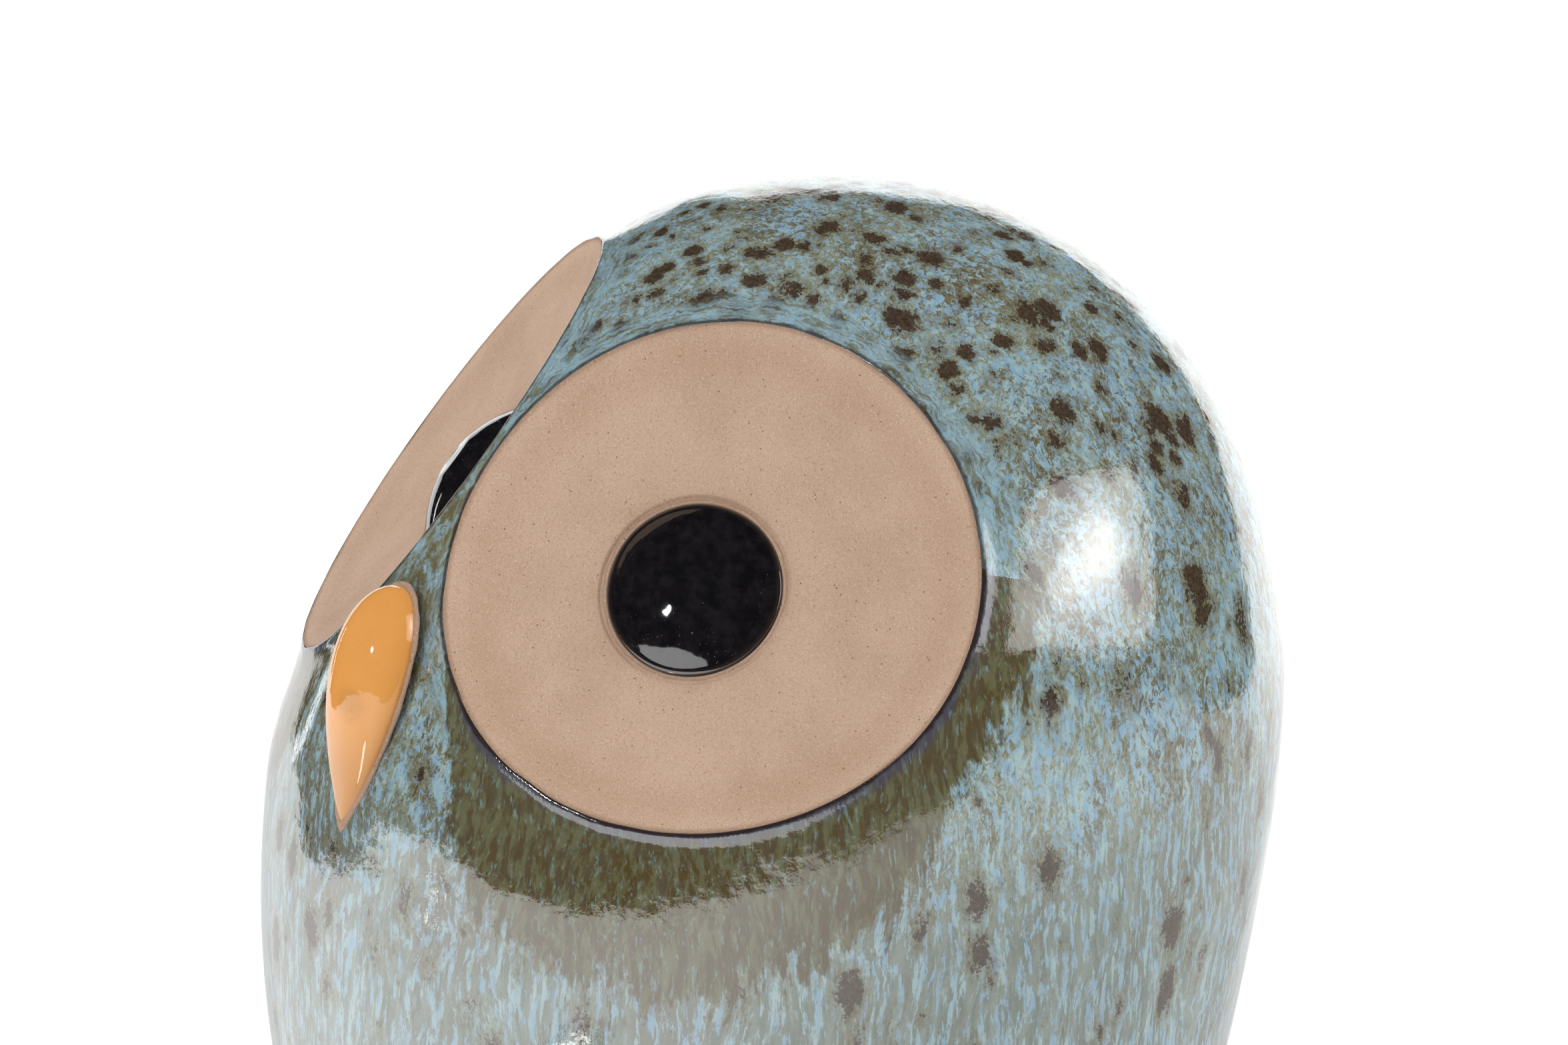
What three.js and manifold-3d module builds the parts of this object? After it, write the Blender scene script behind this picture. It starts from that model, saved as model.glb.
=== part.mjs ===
// Owl coin bank in glazed stoneware: a hollow leaning egg with two dished eye discs,
// domed pupils, a teardrop beak, a coin slot in the back of the head and a rubber
// stopper in the base. Millimetres, +Z up, the owl faces -Y, its own left is +X.
// The origin is on the floor under the middle of the bank.

import * as THREE from 'three';
import { mergeVertices } from 'three/addons/utils/BufferGeometryUtils.js';
import Module from 'manifold-3d';

const wasm = await Module();
wasm.setup();

// ---------------------------------------------------------------- driving dimensions

const GAP = 0.3; // clearance where one piece sits in another

// The egg: a round section that varies along a spine, which leans back and curves.
const EGG_CENTRE = new THREE.Vector3(0, 2.8, 99.4); // on the spine, at the widest section
const EGG_RADIUS = 72.6;
const CROWN_REACH = 92.3; // spine length above the centre
const FOOT_REACH = 139.1; // spine length below it, most of it cut away by the base
const CROWN_POWERS = { along: 2.463, across: 1.954 };
const FOOT_POWERS = { along: 2.173, across: 1.967 };
const LEAN = THREE.MathUtils.degToRad(10.2);
const SPINE_CURVE = 0.000931; // backward offset of the spine, per mm squared from the centre
const FRONT_FULLNESS = 1.071; // the breast is this much deeper than the back
const SIDE_FULLNESS = 1.016;
const OVAL = 0.0065; // side-to-side widening of the section at the centre
const OVAL_RISE = 0.0257; // and how it grows towards the crown
const OVAL_ENDS = 0.0165;
const OVAL_LENGTH = 83.7; // distance along the spine over which the widening settles

const WALL = 5.5;
const FLOOR = 10; // top of the clay floor inside the bank

// The base: a flat foot ring round a shallow recess that holds the stopper.
const BASE_CENTRE_Y = -9.5;
const RECESS_RADIUS = 32;
const RECESS_DEPTH = 4.5;
const HOLE_RADIUS = 17;

// The coin slot, cut straight back through the wall at the back of the head.
const SLOT_LENGTH = 37;
const SLOT_WIDTH = 5;
const SLOT_HEIGHT = 150;
const SLOT_FRONT_Y = 38;
const SLOT_BACK_Y = 90;

// The eye discs: shallow dishes, each in a pocket of its own.
const DISC_CENTRE = new THREE.Vector3(33.1, -33.3, 151.5);
const DISC_YAW = THREE.MathUtils.degToRad(29.0);
const DISC_PITCH = THREE.MathUtils.degToRad(44.4);
const DISC_RADIUS = 37.0;
const DISC_OVAL = { cos2: 0.0167, sin2: 0.0065, cos3: 0.0062, sin3: -0.0137 };
const DISH_DEPTH = 6.2;
const DISC_THICKNESS = 2.8;
const DISC_BEVEL = 2.2; // the edge slopes in by this much over the thickness
const COLLAR = { width: 1.3, foot: 8.2, drop: 8 }; // clay drawn up round each rim
const PAD_THICKNESS = 4.2; // clay behind each disc
const PAD_MARGIN = 4; // and round it

// The pupils: glazed domes let into the dishes.
const PUPIL_RADIUS = 12.3;
const PUPIL_HEIGHT = 4.4;
const PUPIL_SEAT = 1.2;
const PUPIL_OFFSET = { out: -3.4, up: -0.6 };

// The beak: a teardrop that hangs on the ridge between the discs.
const BEAK_TOP_HEIGHT = 145.8;
const BEAK_TIP_HEIGHT = 112.4;
const BEAK_WIDTH_SCALE = 18.4;
const BEAK_SEAT = 1.6;
const BEAK_FULLNESS = { top: 0.95, fall: 0.55 }; // dome height over half-width

// The stopper: a soft hollow plug with a flange that closes the recess side of the hole.
const PLUG_RADIUS = HOLE_RADIUS - GAP;
const PLUG_TIP_RADIUS = 15.2;
const PLUG_WALL = 2.2;
const PLUG_TOP = 13;
const FLANGE_RADIUS = 21.5;
const FLANGE_THICKNESS = 2.2;
const FLANGE_TOP = RECESS_DEPTH - GAP;
const GRIP_DISH_RADIUS = 11;
const GRIP_DISH_DEPTH = 1.4;

// Mesh fineness.
const EGG_AROUND = 56;
const EGG_ALONG = 34;
const CAVITY_AROUND = 32;
const CAVITY_ALONG = 18;
const DISC_AROUND = 48;
const PUPIL_AROUND = 32;
const STOPPER_AROUND = 36;
const BEAK_AROUND = 20;
const BEAK_ALONG = 16;

// ---------------------------------------------------------------- solids and cuts

function toSolid(geometry) {
  const bare = geometry.clone();
  bare.deleteAttribute('normal');
  bare.deleteAttribute('uv');
  const merged = mergeVertices(bare, 1e-4);
  const mesh = new wasm.Mesh({
    numProp: 3,
    vertProperties: new Float32Array(merged.attributes.position.array),
    triVerts: new Uint32Array(merged.index.array),
  });
  return new wasm.Manifold(mesh);
}

function toGeometry(solid) {
  const mesh = solid.getMesh();
  const geometry = new THREE.BufferGeometry();
  geometry.setAttribute('position', new THREE.BufferAttribute(mesh.vertProperties, 3));
  geometry.setIndex(new THREE.BufferAttribute(mesh.triVerts, 1));
  geometry.computeVertexNormals();
  return geometry;
}

function addAll(geometry, additions) {
  let solid = toSolid(geometry);
  for (const addition of additions) {
    solid = solid.add(toSolid(addition));
  }
  return toGeometry(solid);
}

function subtractAll(geometry, cutters) {
  let solid = toSolid(geometry);
  for (const cutter of cutters) {
    solid = solid.subtract(toSolid(cutter));
  }
  return toGeometry(solid);
}

// A lathe turned about +Z from [radius, height] points that start and end on the axis,
// listed from the lowest point outwards and up.
function turned(points, around) {
  const profile = points.map(([radius, height]) => new THREE.Vector2(radius, height));
  const geometry = new THREE.LatheGeometry(profile, around);
  geometry.rotateX(Math.PI / 2);
  return geometry;
}

// ---------------------------------------------------------------- the egg

function ovalFactor(angle, along) {
  const rise = Math.tanh(along / OVAL_LENGTH);
  return 1 + (OVAL + OVAL_RISE * rise + OVAL_ENDS * rise * rise) * Math.cos(2 * angle);
}

// A point of the egg's skin. cosPolar runs from 1 at the crown to -1 at the foot,
// angle goes round the spine from +X, and inset moves the skin inwards.
function eggPoint(cosPolar, angle, inset) {
  const upper = cosPolar > 0;
  const reach = (upper ? CROWN_REACH : FOOT_REACH) - inset;
  const powers = upper ? CROWN_POWERS : FOOT_POWERS;
  const along = cosPolar * reach;
  const taper = Math.max(0, 1 - Math.abs(cosPolar) ** powers.along) ** (1 / powers.across);
  const radius = (EGG_RADIUS - inset) * taper * ovalFactor(angle, along);
  const fullness = Math.sin(angle) < 0 ? FRONT_FULLNESS : 1;
  const depth = radius * Math.sin(angle) * fullness + SPINE_CURVE * along * along;
  return new THREE.Vector3(
    radius * Math.cos(angle) * SIDE_FULLNESS,
    depth * Math.cos(LEAN) + along * Math.sin(LEAN),
    along * Math.cos(LEAN) - depth * Math.sin(LEAN),
  ).add(EGG_CENTRE);
}

function egg(inset, around, along) {
  const geometry = new THREE.SphereGeometry(1, around, along);
  const position = geometry.attributes.position;
  for (let i = 0; i < position.count; i += 1) {
    const cosPolar = THREE.MathUtils.clamp(position.getY(i), -1, 1);
    const angle = Math.atan2(-position.getZ(i), position.getX(i));
    const point = eggPoint(cosPolar, angle, inset);
    position.setXYZ(i, point.x, point.y, point.z);
  }
  return geometry;
}

// The front of the egg on the plane x = 0, found by height.
function breastPoint(height) {
  let high = 0.999;
  let low = -0.999;
  for (let step = 0; step < 40; step += 1) {
    const middle = (high + low) / 2;
    if (eggPoint(middle, -Math.PI / 2, 0).z > height) {
      high = middle;
    } else {
      low = middle;
    }
  }
  return eggPoint((high + low) / 2, -Math.PI / 2, 0);
}

// ---------------------------------------------------------------- the eye discs

// Right-handed axes of one face: across the disc, up the disc, and out of it.
// side is 1 for the owl's left and -1 for its right.
function faceAxes(side) {
  const out = new THREE.Vector3(
    side * Math.sin(DISC_YAW),
    -Math.cos(DISC_YAW) * Math.cos(DISC_PITCH),
    Math.cos(DISC_YAW) * Math.sin(DISC_PITCH),
  );
  const up = new THREE.Vector3(0, 0, 1).addScaledVector(out, -out.z).normalize();
  const across = new THREE.Vector3().crossVectors(up, out);
  return { across, up, out };
}

function faceMatrix(side) {
  const { across, up, out } = faceAxes(side);
  const centre = DISC_CENTRE.clone();
  centre.x *= side;
  return new THREE.Matrix4().makeBasis(across, up, out).setPosition(centre);
}

function placeOnFace(object, side) {
  faceMatrix(side).decompose(object.position, object.quaternion, object.scale);
  return object;
}

// The discs are not quite round: this stretches a turned shape to their outline.
function stretchToOutline(geometry, side) {
  const position = geometry.attributes.position;
  for (let i = 0; i < position.count; i += 1) {
    const x = position.getX(i);
    const y = position.getY(i);
    const angle = Math.atan2(y, side * x);
    const factor = 1 + DISC_OVAL.cos2 * Math.cos(2 * angle) + DISC_OVAL.sin2 * Math.sin(2 * angle)
      + DISC_OVAL.cos3 * Math.cos(3 * angle) + DISC_OVAL.sin3 * Math.sin(3 * angle);
    position.setXY(i, x * factor, y * factor);
  }
  return geometry;
}

const DISH_SPHERE_RADIUS = (DISC_RADIUS ** 2 + DISH_DEPTH ** 2) / (2 * DISH_DEPTH);

function dishHeight(radius) {
  return DISH_SPHERE_RADIUS - DISH_DEPTH - Math.sqrt(DISH_SPHERE_RADIUS ** 2 - radius ** 2);
}

// Points of the dish curve, lowered by drop, from the axis out to a radius.
function dishCurve(outerRadius, drop, steps) {
  const points = [];
  for (let i = 0; i <= steps; i += 1) {
    const radius = (outerRadius * i) / steps;
    points.push([radius, dishHeight(radius) - drop]);
  }
  return points;
}

function discGeometry(side) {
  const under = dishCurve(DISC_RADIUS - DISC_BEVEL, DISC_THICKNESS, 5);
  const top = dishCurve(DISC_RADIUS, 0, 7).reverse();
  return stretchToOutline(turned([...under, ...top], DISC_AROUND), side);
}

// The low cone of clay that carries one rim where it stands clear of the egg.
function collarGeometry(side) {
  const rim = DISC_RADIUS + GAP;
  const cone = turned([
    [0, -COLLAR.drop],
    [rim + COLLAR.foot, -COLLAR.drop],
    [rim + COLLAR.width, 0],
    [0, 0],
  ], DISC_AROUND);
  return stretchToOutline(cone, side).applyMatrix4(faceMatrix(side));
}

// What the body loses to one disc: the pocket, and the cap of the egg above the rim.
function pocketCutter(side) {
  const capRadius = 50;
  const capHeight = 30;
  const drop = DISC_THICKNESS + GAP;
  const pocket = dishCurve(DISC_RADIUS - DISC_BEVEL + GAP, drop, 5);
  const cutter = turned(
    [...pocket, [DISC_RADIUS + GAP, 0], [capRadius, 0], [capRadius, capHeight], [0, capHeight]],
    DISC_AROUND,
  );
  return stretchToOutline(cutter, side).applyMatrix4(faceMatrix(side));
}

// The thickened clay behind one disc, kept out of the coin chamber.
function padCutter(side) {
  const padRadius = DISC_RADIUS + PAD_MARGIN;
  const padHeight = 40;
  const backing = dishCurve(DISC_RADIUS, DISC_THICKNESS + GAP + PAD_THICKNESS, 3);
  const pad = turned(
    [...backing, [padRadius, -WALL], [padRadius, padHeight], [0, padHeight]],
    CAVITY_AROUND,
  );
  return pad.applyMatrix4(faceMatrix(side));
}

// ---------------------------------------------------------------- the pupils

// The pupil's place on its dish: square to the dish, its edge level with the dish.
function pupilMatrix(side) {
  const foot = new THREE.Vector3(side * PUPIL_OFFSET.out, PUPIL_OFFSET.up, 0);
  foot.z = dishHeight(foot.length());
  const dishCentre = new THREE.Vector3(0, 0, DISH_SPHERE_RADIUS - DISH_DEPTH);
  const axis = dishCentre.sub(foot).normalize();
  const edgeRise = dishHeight(PUPIL_RADIUS) + DISH_DEPTH;
  const turn = new THREE.Quaternion().setFromUnitVectors(new THREE.Vector3(0, 0, 1), axis);
  return new THREE.Matrix4().compose(
    foot.addScaledVector(axis, edgeRise),
    turn,
    new THREE.Vector3(1, 1, 1),
  );
}

function pupilGeometry() {
  const sphereRadius = (PUPIL_RADIUS ** 2 + PUPIL_HEIGHT ** 2) / (2 * PUPIL_HEIGHT);
  const edgeAngle = Math.asin(PUPIL_RADIUS / sphereRadius);
  const dome = [];
  const steps = 7;
  for (let i = 0; i <= steps; i += 1) {
    const angle = edgeAngle * (1 - i / steps);
    const height = sphereRadius * Math.cos(angle) - sphereRadius + PUPIL_HEIGHT;
    dome.push([sphereRadius * Math.sin(angle), height]);
  }
  dome[steps][0] = 0;
  return turned([[0, -PUPIL_SEAT], [PUPIL_RADIUS, -PUPIL_SEAT], ...dome], PUPIL_AROUND);
}

function pupilSocketCutter(side) {
  const radius = PUPIL_RADIUS + GAP;
  const bottom = -PUPIL_SEAT - GAP;
  const top = PUPIL_HEIGHT;
  const socket = turned([[0, bottom], [radius, bottom], [radius, top], [0, top]], PUPIL_AROUND);
  return socket.applyMatrix4(pupilMatrix(side));
}

// ---------------------------------------------------------------- the beak

// Half-width of the teardrop at a share of its length, 0 at the top and 1 at the tip.
function beakHalfWidth(share) {
  return BEAK_WIDTH_SCALE * Math.sqrt(share) * (1 - share) ** 0.9;
}

// The beak solid. grow swells it on every side, for the seat it is set in.
function beakGeometry(grow) {
  const geometry = new THREE.SphereGeometry(1, BEAK_AROUND, BEAK_ALONG);
  const position = geometry.attributes.position;
  const length = BEAK_TOP_HEIGHT - BEAK_TIP_HEIGHT;
  const step = 0.5;
  for (let i = 0; i < position.count; i += 1) {
    const share = THREE.MathUtils.clamp((1 - position.getY(i)) / 2, 0, 1);
    const angle = Math.atan2(-position.getZ(i), position.getX(i));
    const height = BEAK_TOP_HEIGHT + grow - share * (length + 2 * grow);
    const foot = breastPoint(height);
    const along = breastPoint(height - step).sub(breastPoint(height + step)).normalize();
    const outward = new THREE.Vector3(1, 0, 0).cross(along).normalize();
    const halfWidth = beakHalfWidth(share);
    const swell = halfWidth > 0 ? grow : 0;
    const dome = halfWidth * (BEAK_FULLNESS.top - BEAK_FULLNESS.fall * share) + swell;
    const seat = Math.min(BEAK_SEAT, halfWidth) + swell;
    const lift = Math.sin(angle) > 0 ? dome * Math.sin(angle) : seat * Math.sin(angle);
    const point = foot.addScaledVector(outward, lift);
    point.x = (halfWidth + swell) * Math.cos(angle);
    position.setXYZ(i, point.x, point.y, point.z);
  }
  return geometry;
}

// ---------------------------------------------------------------- the body

function slotCutter() {
  const radius = SLOT_WIDTH / 2;
  const reach = SLOT_LENGTH / 2 - radius;
  const outline = new THREE.Shape();
  outline.moveTo(-reach, -radius);
  outline.lineTo(reach, -radius);
  outline.absarc(reach, 0, radius, -Math.PI / 2, Math.PI / 2, false);
  outline.lineTo(-reach, radius);
  outline.absarc(-reach, 0, radius, Math.PI / 2, 1.5 * Math.PI, false);
  const slot = new THREE.ExtrudeGeometry(outline, {
    depth: SLOT_BACK_Y - SLOT_FRONT_Y,
    bevelEnabled: false,
    curveSegments: 6,
  });
  return slot.rotateX(Math.PI / 2).translate(0, SLOT_BACK_Y, SLOT_HEIGHT);
}

// A block that takes off everything below a height.
function blockBelow(height) {
  const size = 300;
  return new THREE.BoxGeometry(size, size, size).translate(0, 0, height - size / 2);
}

function baseCutter() {
  const below = -20;
  const through = FLOOR + 5;
  const cutter = turned([
    [0, below],
    [RECESS_RADIUS, below],
    [RECESS_RADIUS, RECESS_DEPTH],
    [HOLE_RADIUS, RECESS_DEPTH],
    [HOLE_RADIUS, through],
    [0, through],
  ], STOPPER_AROUND);
  return cutter.translate(0, BASE_CENTRE_Y, 0);
}

function chamberGeometry() {
  const hollow = egg(WALL, CAVITY_AROUND, CAVITY_ALONG);
  return subtractAll(hollow, [padCutter(1), padCutter(-1), blockBelow(FLOOR)]);
}

function bodyGeometry() {
  const collared = addAll(egg(0, EGG_AROUND, EGG_ALONG), [collarGeometry(1), collarGeometry(-1)]);
  return subtractAll(collared, [
    blockBelow(0),
    pocketCutter(1),
    pocketCutter(-1),
    chamberGeometry(),
    beakGeometry(GAP),
    slotCutter(),
    baseCutter(),
  ]);
}

// ---------------------------------------------------------------- the stopper

function stopperGeometry() {
  const flangeBottom = FLANGE_TOP - FLANGE_THICKNESS;
  const dishFloor = flangeBottom + GRIP_DISH_DEPTH;
  const edge = 0.7;
  const cupFloor = FLANGE_TOP + 0.8;
  return turned([
    [0, dishFloor],
    [GRIP_DISH_RADIUS - 3, dishFloor],
    [GRIP_DISH_RADIUS, flangeBottom],
    [FLANGE_RADIUS - edge, flangeBottom],
    [FLANGE_RADIUS, flangeBottom + edge],
    [FLANGE_RADIUS, FLANGE_TOP - edge],
    [FLANGE_RADIUS - edge, FLANGE_TOP],
    [PLUG_RADIUS, FLANGE_TOP],
    [PLUG_RADIUS, PLUG_TOP - 4],
    [PLUG_TIP_RADIUS, PLUG_TOP],
    [PLUG_TIP_RADIUS - PLUG_WALL, PLUG_TOP],
    [PLUG_RADIUS - PLUG_WALL - 0.5, cupFloor],
    [0, cupFloor],
  ], STOPPER_AROUND);
}

// ---------------------------------------------------------------- materials

function glazedStoneware() {
  return new THREE.MeshStandardMaterial({ color: 0x7d9097, roughness: 0.12, metalness: 0 });
}

function bisqueClay() {
  return new THREE.MeshStandardMaterial({ color: 0xbfa38e, roughness: 0.85, metalness: 0 });
}

function blackGlaze() {
  return new THREE.MeshStandardMaterial({ color: 0x17171a, roughness: 0.08, metalness: 0 });
}

function orangeGlaze() {
  return new THREE.MeshStandardMaterial({ color: 0xd6954e, roughness: 0.1, metalness: 0 });
}

function blackRubber() {
  return new THREE.MeshStandardMaterial({ color: 0x2a2a2b, roughness: 0.75, metalness: 0 });
}

// ---------------------------------------------------------------- assembly

function named(name, geometry, material) {
  const mesh = new THREE.Mesh(geometry, material);
  mesh.name = name;
  return mesh;
}

function face(side, word) {
  const group = placeOnFace(new THREE.Group(), side);
  const disc = subtractAll(discGeometry(side), [pupilSocketCutter(side)]);
  group.add(named(`${word}_eye_disc`, disc, bisqueClay()));
  const pupil = named(`${word}_pupil`, pupilGeometry(), blackGlaze());
  pupilMatrix(side).decompose(pupil.position, pupil.quaternion, pupil.scale);
  group.add(pupil);
  return group;
}

const owl = new THREE.Group();
owl.add(named('body_shell', bodyGeometry(), glazedStoneware()));
owl.add(face(1, 'left'));
owl.add(face(-1, 'right'));
owl.add(named('beak', beakGeometry(0), orangeGlaze()));

const stopper = named('base_stopper', stopperGeometry(), blackRubber());
stopper.position.set(0, BASE_CENTRE_Y, 0);
owl.add(stopper);

export default owl;
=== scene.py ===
"""Looks of the owl coin bank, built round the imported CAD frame. Blender works in metres;
the shape functions below work in millimetres and are scaled once, in new_mesh()."""

import math

import bpy
import numpy as np
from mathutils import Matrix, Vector
from mathutils.geometry import delaunay_2d_cdt


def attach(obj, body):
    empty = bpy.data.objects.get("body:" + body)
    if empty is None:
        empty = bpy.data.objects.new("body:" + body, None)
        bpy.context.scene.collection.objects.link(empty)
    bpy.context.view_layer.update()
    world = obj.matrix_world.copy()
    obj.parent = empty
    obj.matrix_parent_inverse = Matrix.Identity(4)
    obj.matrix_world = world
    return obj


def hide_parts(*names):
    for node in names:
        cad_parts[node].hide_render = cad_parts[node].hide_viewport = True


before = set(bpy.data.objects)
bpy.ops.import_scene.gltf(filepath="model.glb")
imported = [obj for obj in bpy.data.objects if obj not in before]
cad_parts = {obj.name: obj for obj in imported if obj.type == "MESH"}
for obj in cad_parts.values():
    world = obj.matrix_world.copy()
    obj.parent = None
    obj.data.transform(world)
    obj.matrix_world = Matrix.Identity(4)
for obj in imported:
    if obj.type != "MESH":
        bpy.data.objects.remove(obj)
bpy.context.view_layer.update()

MM = 0.001

# ------------------------------------------------------------------ driving dimensions

EGG_CENTRE = np.array([0.0, 2.8, 99.4])
EGG_RADIUS = 72.6
CROWN_REACH, FOOT_REACH = 92.3, 139.1
CROWN_POWERS = (2.463, 1.954)
FOOT_POWERS = (2.173, 1.967)
LEAN = math.radians(10.2)
SPINE_CURVE = 0.000931
FRONT_FULLNESS, SIDE_FULLNESS = 1.071, 1.016
OVAL, OVAL_RISE, OVAL_ENDS, OVAL_LENGTH = 0.0065, 0.0257, 0.0165, 83.7
WALL = 5.5
FLOOR = 10.0

DISC_CENTRE = np.array([33.1, -33.3, 151.5])
DISC_YAW, DISC_PITCH = math.radians(29.0), math.radians(44.4)
DISC_RADIUS = 37.0
DISC_COS2, DISC_SIN2, DISC_COS3, DISC_SIN3 = 0.0167, 0.0065, 0.0062, -0.0137
DISH_DEPTH = 6.2
DISC_THICKNESS = 2.8
PAD_THICKNESS = 4.2
PUPIL_RADIUS, PUPIL_HEIGHT, PUPIL_SEAT = 12.3, 4.4, 1.2
PUPIL_OFFSET = np.array([-3.4, -0.6])
FIRING_GAP = 0.12  # between a glazed edge and the clay beside it

BASE_CENTRE_Y = -9.5
RECESS_RADIUS, RECESS_DEPTH, HOLE_RADIUS = 32.0, 4.5, 17.0
SLOT_LENGTH, SLOT_WIDTH, SLOT_HEIGHT = 37.0, 5.0, 150.0

BEAK_TOP, BEAK_TIP = 145.8, 112.4
BEAK_WIDTH_SCALE, BEAK_SEAT = 18.4, 1.6

STOPPER_GAP, FLANGE_THICKNESS, FLANGE_RADIUS = 0.3, 2.2, 21.5
PLUG_RIBS = (5.4, 7.0, 8.6)

LIP_INNER = DISC_RADIUS + FIRING_GAP  # where the glaze edge meets the clay of the disc
BLEND = 19.0  # width of the zone in which the egg is eased to the rim
RIM_STEPS, FOOT_STEPS, SLOT_STEPS = 336, 240, 96
DISC_STEPS, PUPIL_STEPS, STOPPER_STEPS = 288, 160, 128
BEAK_ROWS, BEAK_STEPS = 72, 96
SEAM_STEPS, SEAM_SIDES = 220, 12
FAR_AWAY = 99.0  # a distance in mm that stands for nowhere near

# ------------------------------------------------------------------ the egg


def full_turn(count):
    return np.linspace(0, 2 * math.pi, count, endpoint=False)


def bisect(is_inside, low, high, count, steps=36):
    """For each of count spans from low to high, where is_inside turns from true to false."""
    low, high = np.full(count, float(low)), np.full(count, float(high))
    for _ in range(steps):
        middle = (low + high) / 2
        inside = is_inside(middle)
        low, high = np.where(inside, middle, low), np.where(inside, high, middle)
    return (low + high) / 2


def egg_radius(u, angle, inset=0.0):
    reach = np.where(u > 0, CROWN_REACH, FOOT_REACH) - inset
    along_power = np.where(u > 0, CROWN_POWERS[0], FOOT_POWERS[0])
    across_power = np.where(u > 0, CROWN_POWERS[1], FOOT_POWERS[1])
    taper = np.maximum(0, 1 - np.abs(u) ** along_power) ** (1 / across_power)
    rise = np.tanh(u * reach / OVAL_LENGTH)
    oval = 1 + (OVAL + OVAL_RISE * rise + OVAL_ENDS * rise * rise) * np.cos(2 * angle)
    return (EGG_RADIUS - inset) * taper * oval


def egg_point(u, angle, inset=0.0):
    """Points of the skin. u is 1 at the crown and -1 at the foot, angle runs round from +X."""
    u, angle = np.broadcast_arrays(np.asarray(u, float), np.asarray(angle, float))
    along = u * (np.where(u > 0, CROWN_REACH, FOOT_REACH) - inset)
    radius = egg_radius(u, angle, inset)
    fullness = np.where(np.sin(angle) < 0, FRONT_FULLNESS, 1.0)
    depth = radius * np.sin(angle) * fullness + SPINE_CURVE * along**2
    point = np.stack(
        [
            radius * np.cos(angle) * SIDE_FULLNESS,
            depth * math.cos(LEAN) + along * math.sin(LEAN),
            along * math.cos(LEAN) - depth * math.sin(LEAN),
        ],
        -1,
    )
    return point + EGG_CENTRE


def egg_param(point, inset=0.0):
    """(u, angle, radius) of points near the skin, the inverse of egg_point."""
    q = point - EGG_CENTRE
    along = q[..., 1] * math.sin(LEAN) + q[..., 2] * math.cos(LEAN)
    depth = q[..., 1] * math.cos(LEAN) - q[..., 2] * math.sin(LEAN) - SPINE_CURVE * along**2
    depth = np.where(depth < 0, depth / FRONT_FULLNESS, depth)
    across = q[..., 0] / SIDE_FULLNESS
    reach = np.where(along > 0, CROWN_REACH, FOOT_REACH) - inset
    return np.clip(along / reach, -1, 1), np.arctan2(depth, across), np.hypot(depth, across)


def onto_egg(point, direction, low, high, inset=0.0):
    """Moves each point along direction, by a distance from low to high, onto the skin."""

    def is_inside(distance):
        u, angle, radius = egg_param(point + distance[:, None] * direction, inset)
        return radius < egg_radius(u, angle, inset)

    return point + bisect(is_inside, low, high, len(point))[:, None] * direction


def flat_param(point, inset=0.0):
    """The skin laid flat round the crown, where it can be triangulated."""
    u, angle, _ = egg_param(point, inset)
    polar = np.arccos(u)
    return np.stack([polar * np.cos(angle), polar * np.sin(angle)], -1)


# ------------------------------------------------------------------ the faces


def face_frame(side):
    out = np.array(
        [
            side * math.sin(DISC_YAW),
            -math.cos(DISC_YAW) * math.cos(DISC_PITCH),
            math.cos(DISC_YAW) * math.sin(DISC_PITCH),
        ]
    )
    up = np.array([0.0, 0.0, 1.0]) - out * out[2]
    up /= np.linalg.norm(up)
    centre = DISC_CENTRE * np.array([side, 1, 1])
    return centre, np.cross(up, out), up, out


def outline(theta, side):
    """The discs aren't quite round: this factor stretches a radius to their outline."""
    theta = np.where(side > 0, theta, math.pi - theta)
    return (
        1
        + DISC_COS2 * np.cos(2 * theta)
        + DISC_SIN2 * np.sin(2 * theta)
        + DISC_COS3 * np.cos(3 * theta)
        + DISC_SIN3 * np.sin(3 * theta)
    )


def in_face(point, side):
    """(across, up, out) of points in one face's own frame."""
    centre, across, up, out = face_frame(side)
    q = point - centre
    return q @ across, q @ up, q @ out


def to_face(point, side):
    """(radius, theta, height) of points in one face's own frame, radius unstretched."""
    x, y, z = in_face(point, side)
    theta = np.arctan2(y, x)
    return np.hypot(x, y) / outline(theta, side), theta, z


def from_face(radius, theta, height, side):
    centre, across, up, out = face_frame(side)
    stretched = radius * outline(theta, side)
    x, y = stretched * np.cos(theta), stretched * np.sin(theta)
    z = np.asarray(height)
    return centre + x[..., None] * across + y[..., None] * up + z[..., None] * out


DISH_SPHERE = (DISC_RADIUS**2 + DISH_DEPTH**2) / (2 * DISH_DEPTH)


def dish_height(radius):
    return DISH_SPHERE - DISH_DEPTH - np.sqrt(DISH_SPHERE**2 - np.asarray(radius, float) ** 2)


def smoothstep(low, high, value):
    t = np.clip((np.asarray(value, float) - low) / (high - low), 0, 1)
    return t * t * (3 - 2 * t)


def lip_radius(theta, side):
    """The edge of the glaze wanders a little as it goes round the clay disc."""
    turns = theta if side > 0 else theta + 2.1
    slow = 0.07 * np.sin(3 * turns + 0.4) + 0.06 * np.sin(5 * turns + 2.2)
    quick = 0.045 * np.sin(13 * turns + 1.0) + 0.03 * np.sin(29 * turns + 4.0)
    return LIP_INNER + slow + quick * (1 + np.sin(2 * turns))


def rim_heights(side):
    """Height of the bare egg over the rim's plane, all round one rim."""
    theta = np.linspace(0, 2 * math.pi, 181)
    start = from_face(lip_radius(theta, side), theta, 0.0, side)
    skin = onto_egg(start, face_frame(side)[3], -12, 8)
    return theta, to_face(skin, side)[2]


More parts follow.
